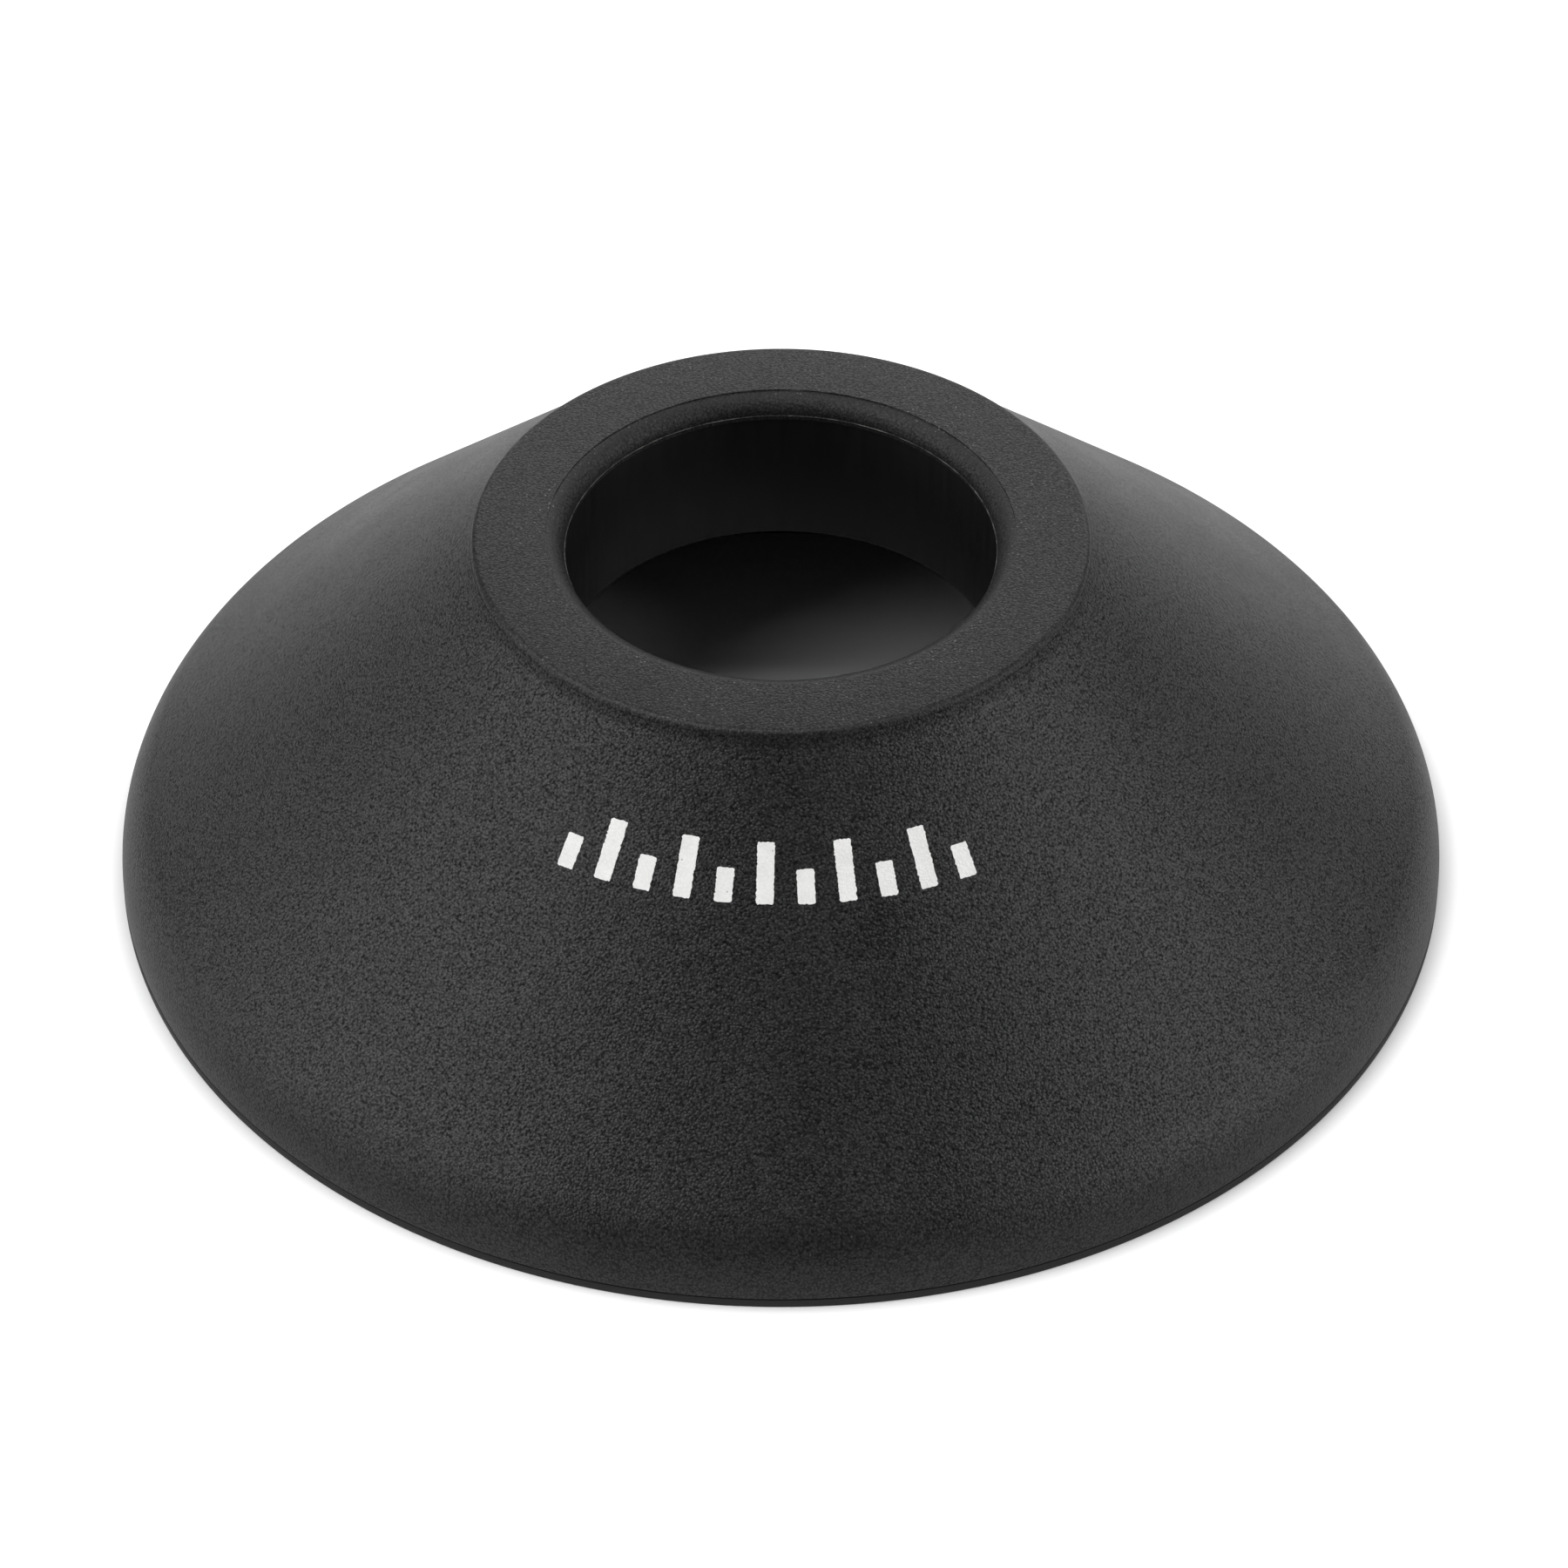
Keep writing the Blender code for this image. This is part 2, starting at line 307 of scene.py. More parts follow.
def snap_corners(wall_radius, middle_z, depth, half):
    """A rounded bead or groove on a wall, from its upper end to its lower end."""
    return [(wall_radius, middle_z + half), (wall_radius + depth, middle_z + half / 3),
            (wall_radius + depth, middle_z - half / 3), (wall_radius, middle_z - half)]


def mouth_corners(cone):
    """The flash on the lip, the round of the mouth, and the low riser where the mould's core met its face."""
    lip_top = cone.height - cone.mouth_round
    center_r = cone.throat_radius + cone.mouth_round
    rise = (cone.mouth_round - cone.riser_height) / cone.mouth_round
    corners = [(cone.throat_radius, lip_top - cone.flash)]
    corners += [(cone.throat_radius - cone.flash, lip_top - cone.flash / 3)]
    corners += [(r, lip_top + (z - lip_top) * rise)
                for r, z in arc(center_r, lip_top, cone.mouth_round, 180, 90, 14)]
    corners += [(center_r + cone.riser_width, cone.height)]
    return corners


def step_corners(cone):
    """The round of the flat face's outer edge, down to the hollow where it meets the flank."""
    base_z = flank_z(cone, cone.rim_radius)
    corners = arc(cone.rim_radius - cone.rim_edge, cone.height - cone.rim_edge, cone.rim_edge, 90, 0, 8)
    return corners + [(cone.rim_radius, base_z + cone.rim_foot / 2),
                      (cone.rim_radius + cone.rim_foot / 4, base_z + cone.rim_foot / 8),
                      (cone.rim_radius + cone.rim_foot, flank_z(cone, cone.rim_radius + cone.rim_foot))]


def shoulder_corners(cone, foot_z):
    """The big round from the flank down to the foot."""
    flank_turn = 90 - degrees(cone.flank_slope)
    foot_turn = degrees(asin((foot_z - cone.shoulder_center_z) / cone.shoulder_radius))
    return arc(cone.foot_radius - cone.shoulder_radius, cone.shoulder_center_z, cone.shoulder_radius,
               flank_turn, foot_turn, 28)


# Materials -------------------------------------------------------------------------------------------


def linear(hex_value):
    """An sRGB hex colour as the linear colour that a shader takes."""
    channels = [int(hex_value[i:i + 2], 16) / 255 for i in (1, 3, 5)]
    return tuple(c / 12.92 if c <= 0.04045 else ((c + 0.055) / 1.055) ** 2.4 for c in channels) + (1.0,)


def add(tree, kind, inputs=None, **settings):
    """Adds a node, sets its settings, and fills each named socket with a value or with a link."""
    node = tree.nodes.new(kind)
    for key, value in settings.items():
        setattr(node, key, value)
    for key, value in (inputs or {}).items():
        socket = node.inputs[key]
        if isinstance(value, bpy.types.NodeSocket):
            tree.links.new(value, socket)
        else:
            socket.default_value = value
    return node


def new_material(name, hex_value):
    """A material whose Principled node is returned with its tree. The solid view gets the same colour."""
    material = bpy.data.materials.new(name)
    material.use_nodes = True
    material.diffuse_color = linear(hex_value)
    tree = material.node_tree
    return material, tree, tree.nodes["Principled BSDF"]


def set_sockets(node, **values):
    for key, value in values.items():
        node.inputs[key.replace("_", " ")].default_value = value


def pebbles(tree, place):
    """Height of the spark-eroded grain, 0 to 1: close-packed round pebbles, roughened so that no two are
    alike, with narrow low valleys between them, into which the materials paint shade."""
    cells = add(tree, "ShaderNodeTexVoronoi", {"Vector": place, "Scale": 1.0 / GRAIN_PITCH,
                                               "Smoothness": 0.3}, feature="SMOOTH_F1")
    round_top = add(tree, "ShaderNodeMapRange", {"Value": cells.outputs["Distance"], "From Min": 0.15,
                                                 "From Max": 0.70, "To Min": 0.6, "To Max": 0.0})
    rough = add(tree, "ShaderNodeTexNoise", {"Vector": place, "Scale": 1.0 / GRAIN_FINE, "Detail": 1.5})
    broken = add(tree, "ShaderNodeMapRange", {"Value": rough.outputs["Fac"], "From Min": 0.36,
                                              "From Max": 0.62, "To Min": 0.0, "To Max": 0.4})
    return add(tree, "ShaderNodeMath", {0: round_top.outputs[0], 1: broken.outputs[0]},
               operation="ADD").outputs[0]


def motes(tree, place, pitch, chance, size):
    """Small bright specks, one in some of the cells of a random pattern."""
    cells = add(tree, "ShaderNodeTexVoronoi", {"Vector": place, "Scale": 1.0 / pitch})
    dot = add(tree, "ShaderNodeMapRange", {"Value": cells.outputs["Distance"], "From Min": size * 0.6,
                                           "From Max": size, "To Min": 1.0, "To Max": 0.0})
    pick = add(tree, "ShaderNodeSeparateColor", {"Color": cells.outputs["Color"]})
    kept = add(tree, "ShaderNodeMath", {0: pick.outputs["Red"], 1: 1.0 - chance}, operation="GREATER_THAN")
    return add(tree, "ShaderNodeMath", {0: dot.outputs[0], 1: kept.outputs[0]},
               operation="MULTIPLY").outputs[0]


def axis_radius(tree, place):
    """Distance of a point from the axis, for marks that run round it."""
    flat = add(tree, "ShaderNodeVectorMath", {0: place, 1: (1.0, 1.0, 0.0)}, operation="MULTIPLY")
    return add(tree, "ShaderNodeVectorMath", {0: flat.outputs[0]}, operation="LENGTH").outputs["Value"]


def band(tree, value, low, high, fade):
    """1 where a value lies between low and high, fading to 0 outside."""
    up = add(tree, "ShaderNodeMapRange", {"Value": value, "From Min": low - fade, "From Max": low})
    down = add(tree, "ShaderNodeMapRange", {"Value": value, "From Min": high, "From Max": high + fade,
                                            "To Min": 1.0, "To Max": 0.0})
    return add(tree, "ShaderNodeMath", {0: up.outputs[0], 1: down.outputs[0]},
               operation="MULTIPLY").outputs[0]


def grained_silicone(finishes, cone):
    """Silicone rubber moulded in a spark-eroded tool: a matte black skin of fine packed pebbles. Their tops
    catch the lights through the bump and are painted lighter in colour and gloss, the valleys carry painted
    shade, and the grain is weaker on the flat face, in the mouth and towards the foot."""
    material, tree, shader = new_material("spark_grained_silicone", finishes.silicone)
    place = add(tree, "ShaderNodeTexCoord").outputs["Object"]
    axial = add(tree, "ShaderNodeSeparateXYZ", {"Vector": place}).outputs["Z"]
    radius = axis_radius(tree, place)
    # Slow changes of tone and gloss, some 5 mm across.
    clouds = add(tree, "ShaderNodeTexNoise", {"Vector": place, "Scale": 1.0 / (5.0 * MM), "Detail": 4.0,
                                              "Roughness": 0.6}).outputs["Fac"]
    face = add(tree, "ShaderNodeMapRange", {"Value": axial, "From Min": cone.height - 0.4 * MM,
                                            "From Max": cone.height - 0.1 * MM}).outputs[0]
    # Painted shade: the gloss is turned down in the hollow at the foot of the step, which catches less light.
    crease_shade_mask = band(tree, radius, cone.rim_radius - 0.02 * MM, cone.rim_radius + 0.2 * MM, 0.3 * MM)
    # How far the grain is flattened: in the mouth, near the foot and on the flat face.
    inside = add(tree, "ShaderNodeMapRange", {"Value": radius, "To Min": 1.0, "To Max": 0.0,
                                              "From Min": cone.throat_radius + cone.mouth_round * 0.6,
                                              "From Max": cone.throat_radius + cone.mouth_round}).outputs[0]
    near_foot = add(tree, "ShaderNodeMapRange", {"Value": axial, "From Min": 1.5 * MM, "From Max": 7.0 * MM,
                                                 "To Min": 0.35, "To Max": 0.0}).outputs[0]
    edges = add(tree, "ShaderNodeMath", {0: inside, 1: 0.35, 2: near_foot},
                operation="MULTIPLY_ADD").outputs[0]
    worn = add(tree, "ShaderNodeMath", {0: face, 1: 0.45, 2: edges}, operation="MULTIPLY_ADD")
    height = add(tree, "ShaderNodeMixRGB", {"Fac": worn.outputs[0], "Color1": pebbles(tree, place),
                                            "Color2": (0.52, 0.52, 0.52, 1.0)}).outputs[0]
    # Painted shade and highlight: the colour is painted darker in the grain's valleys and lighter on its
    # tops.
    valley_shade_tone = add(tree, "ShaderNodeMapRange", {"Value": height, "To Min": 0.35, "To Max": 1.6})
    drift = add(tree, "ShaderNodeMapRange", {"Value": clouds, "From Min": 0.3, "From Max": 0.7,
                                             "To Min": 0.78, "To Max": 1.22})
    tone = add(tree, "ShaderNodeMath", {0: valley_shade_tone.outputs[0], 1: drift.outputs[0]}, operation="MULTIPLY")
    body = add(tree, "ShaderNodeMixRGB", {"Fac": 1.0, "Color1": linear(finishes.silicone),
                                          "Color2": tone.outputs[0]}, blend_type="MULTIPLY")
    # Pale dust, and the painted highlight on the lip's flash and the riser.
    dust_and_highlight = add(tree, "ShaderNodeMixRGB", {"Fac": dust_and_highlight_amount(tree, place, cone, clouds, face, radius),
                                            "Color1": body.outputs[0],
                                            "Color2": linear(finishes.silicone_dust_and_highlight)})
    tree.links.new(dust_and_highlight.outputs[0], shader.inputs["Base Color"])
    # Painted shade: the gloss is turned down in the grain's valleys and up on its tops.
    gloss = add(tree, "ShaderNodeMapRange", {"Value": height, "To Min": 0.08, "To Max": 0.86})
    # Painted shade: the gloss falls to 0.6 of itself in the hollow at the foot of the step.
    painted_hollow_shade = add(tree, "ShaderNodeMapRange", {"Value": crease_shade_mask, "To Min": 1.0, "To Max": 0.6})
    shine = add(tree, "ShaderNodeMath", {0: gloss.outputs[0], 1: painted_hollow_shade.outputs[0]}, operation="MULTIPLY")
    tree.links.new(shine.outputs[0], shader.inputs["Specular IOR Level"])
    rough = add(tree, "ShaderNodeMapRange", {"Value": clouds, "From Min": 0.3, "From Max": 0.7,
                                             "To Min": 0.35, "To Max": 0.41})
    matted = add(tree, "ShaderNodeMath", {0: inside, 1: 0.2, 2: rough.outputs[0]}, operation="MULTIPLY_ADD")
    tree.links.new(matted.outputs[0], shader.inputs["Roughness"])
    bump = add(tree, "ShaderNodeBump", {"Height": height, "Strength": 1.0, "Distance": GRAIN_DEPTH})
    tree.links.new(bump.outputs["Normal"], shader.inputs["Normal"])
    set_sockets(shader, IOR=1.41)
    return material


def dust_and_highlight_amount(tree, place, cone, clouds, face, radius):
    """Where the skin turns pale: dust in stray specks and in a scatter of fine ones on the flat face, and a
    painted highlight, partly dust, on the thin edges of the mouth, the riser and the flash at the lip, broken
    up along their length."""
    stray = motes(tree, place, 0.6 * MM, 0.10, 0.11)
    fine = motes(tree, place, 0.27 * MM, 0.4, 0.25)
    patchy = add(tree, "ShaderNodeMapRange", {"Value": clouds, "From Min": 0.42, "From Max": 0.62,
                                              "To Min": 0.15, "To Max": 1.0})
    mouth_r = cone.throat_radius + cone.mouth_round
    around_mouth = band(tree, radius, mouth_r - 0.1 * MM, mouth_r + 0.5 * MM, 0.3 * MM)
    where = add(tree, "ShaderNodeMath", {0: around_mouth, 1: 0.8, 2: face}, operation="MULTIPLY_ADD")
    near = add(tree, "ShaderNodeMath", {0: where.outputs[0], 1: patchy.outputs[0]}, operation="MULTIPLY")
    ragged = add(tree, "ShaderNodeTexNoise", {"Vector": place, "Scale": 1.0 / (1.6 * MM), "Detail": 4.0,
                                              "Roughness": 0.7})
    broken = add(tree, "ShaderNodeMapRange", {"Value": ragged.outputs["Fac"], "From Min": 0.46,
                                              "From Max": 0.64})
    # Painted highlight, partly dust: a pale broken line on the flash at the lip.
    lip = band(tree, radius, 0.0, cone.throat_radius - 0.035 * MM, 0.025 * MM)
    # Painted highlight, partly dust: a fainter pale broken line on the riser.
    riser = band(tree, radius, mouth_r, mouth_r + cone.riser_width, 0.02 * MM)
    amount = add(tree, "ShaderNodeMath", {0: stray, 1: 0.14}, operation="MULTIPLY").outputs[0]
    for pattern, place_mask, strength in ((fine, near.outputs[0], 0.36), (broken.outputs[0], lip, 0.5),
                                          (broken.outputs[0], riser, 0.16)):
        share = add(tree, "ShaderNodeMath", {0: pattern, 1: place_mask}, operation="MULTIPLY").outputs[0]
        amount = add(tree, "ShaderNodeMath", {0: share, 1: strength, 2: amount},
                     operation="MULTIPLY_ADD").outputs[0]
    return amount


def smooth_liner(finishes):
    """Liner moulded on a polished core: deep, even black with only a soft gloss and faint drawn lines."""
    material, tree, shader = new_material("polished_core_liner", finishes.liner)
    place = add(tree, "ShaderNodeTexCoord").outputs["Object"]
    # Drawing marks are finer than 0.05 mm, too fine to show, so they are drawn 0.5 mm apart and faint.
    drawn = add(tree, "ShaderNodeMapping", {"Vector": place, "Scale": (1.0, 1.0, 0.08)})
    lines = add(tree, "ShaderNodeTexNoise", {"Vector": drawn.outputs[0], "Scale": 1.0 / (0.5 * MM),
                                             "Detail": 2.0})
    tone = add(tree, "ShaderNodeMapRange", {"Value": lines.outputs["Fac"], "From Min": 0.3, "From Max": 0.7,
                                            "To Min": 0.9, "To Max": 1.1})
    color = add(tree, "ShaderNodeMixRGB", {"Fac": 1.0, "Color1": linear(finishes.liner),
                                           "Color2": tone.outputs[0]}, blend_type="MULTIPLY")
    tree.links.new(color.outputs[0], shader.inputs["Base Color"])
    rough = add(tree, "ShaderNodeMapRange", {"Value": lines.outputs["Fac"], "From Min": 0.3, "From Max": 0.7,
                                             "To Min": 0.42, "To Max": 0.5})
    tree.links.new(rough.outputs[0], shader.inputs["Roughness"])
    bump = add(tree, "ShaderNodeBump", {"Height": lines.outputs["Fac"], "Strength": 0.15,
                                        "Distance": 0.02 * MM})
    tree.links.new(bump.outputs["Normal"], shader.inputs["Normal"])
    set_sockets(shader, Specular_IOR_Level=0.3)
    return material


def moulded_nylon(finishes):
    """Glass-filled nylon from a lightly textured tool: dark grey-black, matte, with a tighter grain than the
    silicone and a faint mottle where the fibres come near the surface."""
    material, tree, shader = new_material("glass_filled_nylon", finishes.nylon)
    place = add(tree, "ShaderNodeTexCoord").outputs["Object"]
    # Glass fibres are 0.01 mm thick, too fine to show, so their texture is drawn at 0.22 mm.
    fibres = add(tree, "ShaderNodeTexNoise", {"Vector": place, "Scale": 1.0 / (0.22 * MM), "Detail": 2.0})
    mottle = add(tree, "ShaderNodeTexNoise", {"Vector": place, "Scale": 1.0 / (3.0 * MM), "Detail": 3.0,
                                              "Roughness": 0.6})
    both = add(tree, "ShaderNodeMath", {0: fibres.outputs["Fac"], 1: mottle.outputs["Fac"]}, operation="ADD")
    tone = add(tree, "ShaderNodeMapRange", {"Value": both.outputs[0], "From Min": 0.7, "From Max": 1.3,
                                            "To Min": 0.85, "To Max": 1.15})
    color = add(tree, "ShaderNodeMixRGB", {"Fac": 1.0, "Color1": linear(finishes.nylon),
                                           "Color2": tone.outputs[0]}, blend_type="MULTIPLY")
    tree.links.new(color.outputs[0], shader.inputs["Base Color"])
    rough = add(tree, "ShaderNodeMapRange", {"Value": mottle.outputs["Fac"], "From Min": 0.3, "From Max": 0.7,
                                             "To Min": 0.48, "To Max": 0.58})
    tree.links.new(rough.outputs[0], shader.inputs["Roughness"])
    bump = add(tree, "ShaderNodeBump", {"Height": fibres.outputs["Fac"], "Strength": 0.3,
                                        "Distance": 0.03 * MM})
    tree.links.new(bump.outputs["Normal"], shader.inputs["Normal"])
    set_sockets(shader, Specular_IOR_Level=0.3)
    return material


def pad_ink(finishes):
    """Pad-printed white ink: a thin matte white that follows the pebbles under it, so it shows them as a soft
    mottle of bumps and painted valley shade, with a few pinholes where it missed a pit."""
    material, tree, shader = new_material("pad_printed_ink", finishes.ink)
    place = add(tree, "ShaderNodeTexCoord").outputs["Object"]
    height = pebbles(tree, place)
    holes = motes(tree, place, 0.45 * MM, 0.10, 0.15)
    pinholes = add(tree, "ShaderNodeMath", {0: holes, 1: 0.45}, operation="MULTIPLY")
    film = add(tree, "ShaderNodeTexNoise", {"Vector": place, "Scale": 1.0 / (1.2 * MM), "Detail": 2.0})
    thin = add(tree, "ShaderNodeMapRange", {"Value": film.outputs["Fac"], "From Min": 0.3, "From Max": 0.7,
                                            "To Min": 0.93, "To Max": 1.0})
    # Painted shade: the ink is painted up to a tenth darker in the grain's valleys.
    valleys = add(tree, "ShaderNodeMapRange", {"Value": height, "To Min": 0.90, "To Max": 1.0})
    tone = add(tree, "ShaderNodeMath", {0: thin.outputs[0], 1: valleys.outputs[0]}, operation="MULTIPLY")
    white = add(tree, "ShaderNodeMixRGB", {"Fac": 1.0, "Color1": linear(finishes.ink),
                                           "Color2": tone.outputs[0]}, blend_type="MULTIPLY")
    color = add(tree, "ShaderNodeMixRGB", {"Fac": pinholes.outputs[0], "Color1": white.outputs[0],
                                           "Color2": linear(finishes.silicone)})
    tree.links.new(color.outputs[0], shader.inputs["Base Color"])
    bump = add(tree, "ShaderNodeBump", {"Height": height, "Strength": 0.35, "Distance": GRAIN_DEPTH})
    tree.links.new(bump.outputs["Normal"], shader.inputs["Normal"])
    set_sockets(shader, Roughness=0.55)
    return material


def nickel_plate(finishes):
    """Nickel-plated sintered magnet: bright and slightly warm, with a soft orange-peel from the tumbling."""
    material, tree, shader = new_material("nickel_plated_magnet", finishes.nickel)
    place = add(tree, "ShaderNodeTexCoord").outputs["Object"]
    peel = add(tree, "ShaderNodeTexNoise", {"Vector": place, "Scale": 1.0 / (0.4 * MM), "Detail": 2.0})
    tone = add(tree, "ShaderNodeMapRange", {"Value": peel.outputs["Fac"], "From Min": 0.3, "From Max": 0.7,
                                            "To Min": 0.93, "To Max": 1.0})
    color = add(tree, "ShaderNodeMixRGB", {"Fac": 1.0, "Color1": linear(finishes.nickel),
                                           "Color2": tone.outputs[0]}, blend_type="MULTIPLY")
    tree.links.new(color.outputs[0], shader.inputs["Base Color"])
    rough = add(tree, "ShaderNodeMapRange", {"Value": peel.outputs["Fac"], "From Min": 0.3, "From Max": 0.7,
                                             "To Min": 0.16, "To Max": 0.28})
    tree.links.new(rough.outputs[0], shader.inputs["Roughness"])
    bump = add(tree, "ShaderNodeBump", {"Height": peel.outputs["Fac"], "Strength": 0.1,
                                        "Distance": 0.02 * MM})
    tree.links.new(bump.outputs["Normal"], shader.inputs["Normal"])
    set_sockets(shader, Metallic=1.0)
    return material


def rolled_steel(finishes):
    """Cold-rolled steel strip, blanked to a ring: grey, with fine straight rolling lines."""
    material, tree, shader = new_material("cold_rolled_steel", finishes.steel)
    place = add(tree, "ShaderNodeTexCoord").outputs["Object"]
    # Rolling lines are finer than 0.05 mm, too fine to show, so they are drawn 0.25 mm apart.
    rolled = add(tree, "ShaderNodeMapping", {"Vector": place, "Scale": (0.03, 1.0, 1.0)})
    lines = add(tree, "ShaderNodeTexNoise", {"Vector": rolled.outputs[0], "Scale": 1.0 / (0.25 * MM),
                                             "Detail": 3.0})
    tone = add(tree, "ShaderNodeMapRange", {"Value": lines.outputs["Fac"], "From Min": 0.3, "From Max": 0.7,
                                            "To Min": 0.85, "To Max": 1.0})
    color = add(tree, "ShaderNodeMixRGB", {"Fac": 1.0, "Color1": linear(finishes.steel),
                                           "Color2": tone.outputs[0]}, blend_type="MULTIPLY")
    tree.links.new(color.outputs[0], shader.inputs["Base Color"])
    rough = add(tree, "ShaderNodeMapRange", {"Value": lines.outputs["Fac"], "From Min": 0.3, "From Max": 0.7,
                                             "To Min": 0.3, "To Max": 0.46})
    tree.links.new(rough.outputs[0], shader.inputs["Roughness"])
    set_sockets(shader, Metallic=1.0)
    return material


def studio_floor(finishes, cone):
    """White painted board with a painted glow that only the camera sees: it rises from nothing at the foot to
    full a little way out, so the ground stays white right up to the foot and a thin painted contact shadow is
    left there. Under the snoot there is no glow, so it is dark there."""
    material, tree, shader = new_material("white_painted_board", finishes.floor)
    place = add(tree, "ShaderNodeTexCoord").outputs["Object"]
    roller = add(tree, "ShaderNodeTexNoise", {"Vector": place, "Scale": 1.0 / (2.0 * MM), "Detail": 2.0})
    bump = add(tree, "ShaderNodeBump", {"Height": roller.outputs["Fac"], "Strength": 0.05,
                                        "Distance": 0.02 * MM})
    tree.links.new(bump.outputs["Normal"], shader.inputs["Normal"])
    # Painted light: an emission seen only by the camera, which brightens the floor round the foot over its
    # real shadow and leaves a thin painted contact shadow.
    glow = add(tree, "ShaderNodeMapRange", {"Value": axis_radius(tree, place),
                                            "From Min": cone.foot_radius - 0.2 * MM,
                                            "From Max": cone.foot_radius + 1.2 * MM,
                                            "To Min": 0.0, "To Max": 0.3})
    seen = add(tree, "ShaderNodeLightPath").outputs["Is Camera Ray"]
    strength = add(tree, "ShaderNodeMath", {0: glow.outputs[0], 1: seen}, operation="MULTIPLY")
    tree.links.new(strength.outputs[0], shader.inputs["Emission Strength"])
    paint = add(tree, "ShaderNodeMixRGB", {"Fac": seen, "Color1": linear(finishes.floor_shade),
                                           "Color2": linear(finishes.floor)})
    tree.links.new(paint.outputs[0], shader.inputs["Base Color"])
    set_sockets(shader, Roughness=0.9, Emission_Color=(1.0, 1.0, 1.0, 1.0), Specular_IOR_Level=0.0)
    return material


# Operators -------------------------------------------------------------------------------------------


class SNOOT_OT_camera(bpy.types.Operator):
    """Place the camera in front of the snoot, looking down on it"""
    bl_idname = "snoot.camera"
    bl_label = "Camera"

    def execute(self, context):
        studio = context.scene.snoot_studio
        reach = studio.distance * cos(studio.elevation)
        height = studio.aim_z + studio.distance * sin(studio.elevation)
        bpy.ops.object.camera_add(location=(0.0, -reach, height),
                                  rotation=(pi / 2 - studio.elevation, 0.0, 0.0))
        camera = context.object
        camera.data.lens = studio.lens
        camera.data.shift_x = studio.shift_x
        camera.data.clip_start = 0.01
        context.scene.camera = camera
        return {"FINISHED"}


class SNOOT_OT_cone(bpy.types.Operator):
    """Turn the soft cone with its mouth, step, flank, shoulder, collar and groove"""
    bl_idname = "snoot.cone"
    bl_label = "Soft cone"

    def execute(self, context):
        cone, ring, liner = context.scene.snoot_cone, context.scene.snoot_ring, context.scene.snoot_liner
        foot_z = ring.edge_top_z + cone.seam
        face_z = cone.height - cone.face_thickness
        seat_r = ring.wall_radius + ring.clearance
        seat_z = ring.seat_z + ring.clearance
        collar_out = SLEEVE_HIGH.x
        collar_in = collar_out - cone.collar_wall
        collar_end = SLEEVE_LOW.z + liner.flange + ring.clearance
        lip_z = cone.height - cone.mouth_round - cone.lip
        top = mouth_corners(cone) + step_corners(cone)
        outside = shoulder_corners(cone, foot_z)
        inside = [(seat_r, foot_z)]
        inside += reversed(snap_corners(seat_r, ring.snap_z, ring.snap_depth, ring.snap_half))
        inside += [(seat_r, seat_z), (flank_radius(cone, seat_z, cone.wall), seat_z)]
        roof = [(flank_radius(cone, face_z, cone.wall), face_z), (collar_out, face_z)]
        collar = [(collar_out, collar_end), (collar_in, collar_end)]
        groove = list(reversed(snap_corners(collar_in, ring.sleeve_snap_z, ring.snap_depth, ring.snap_half)))
        lip = [(collar_in, lip_z), (cone.throat_radius, lip_z)]
        corners = top + outside + inside + roof + collar + groove + lip
        rounds = [(cone.collar_edge, 3, collar), (cone.seam_edge, 2, [outside[-1], inside[0]])]
        item = turned("cone_body", corners, cone.sides, rounds)
        place_piece(item, grained_silicone(context.scene.snoot_finishes, cone), ["outer_cone"])
        return {"FINISHED"}


class SNOOT_OT_liner(bpy.types.Operator):
    """Turn the smooth liner of the throat with its flange and snap bead"""
    bl_idname = "snoot.liner"
    bl_label = "Throat liner"

    def execute(self, context):
        cone, ring, liner = context.scene.snoot_cone, context.scene.snoot_ring, context.scene.snoot_liner
        flange_r = SLEEVE_HIGH.x
        wall_r = flange_r - cone.collar_wall - ring.clearance
        inner_r = wall_r - liner.wall
        flange_z = SLEEVE_LOW.z + liner.flange
        top_z = cone.height - cone.mouth_round - cone.lip - liner.top_gap
        corners = [(inner_r, top_z), (wall_r, top_z)]
        corners += snap_corners(wall_r, ring.sleeve_snap_z, ring.snap_depth, ring.snap_half)
        corners += [(wall_r, flange_z), (flange_r, flange_z), (flange_r, SLEEVE_LOW.z)]
        corners += [(inner_r, SLEEVE_LOW.z)]
        rounds = [(liner.flange_round, 3, corners[-3:]), (liner.top_round, 2, corners[:2])]
        item = turned("throat_liner", corners, cone.sides, rounds)
        place_piece(item, smooth_liner(context.scene.snoot_finishes), ["throat_sleeve"])
        return {"FINISHED"}


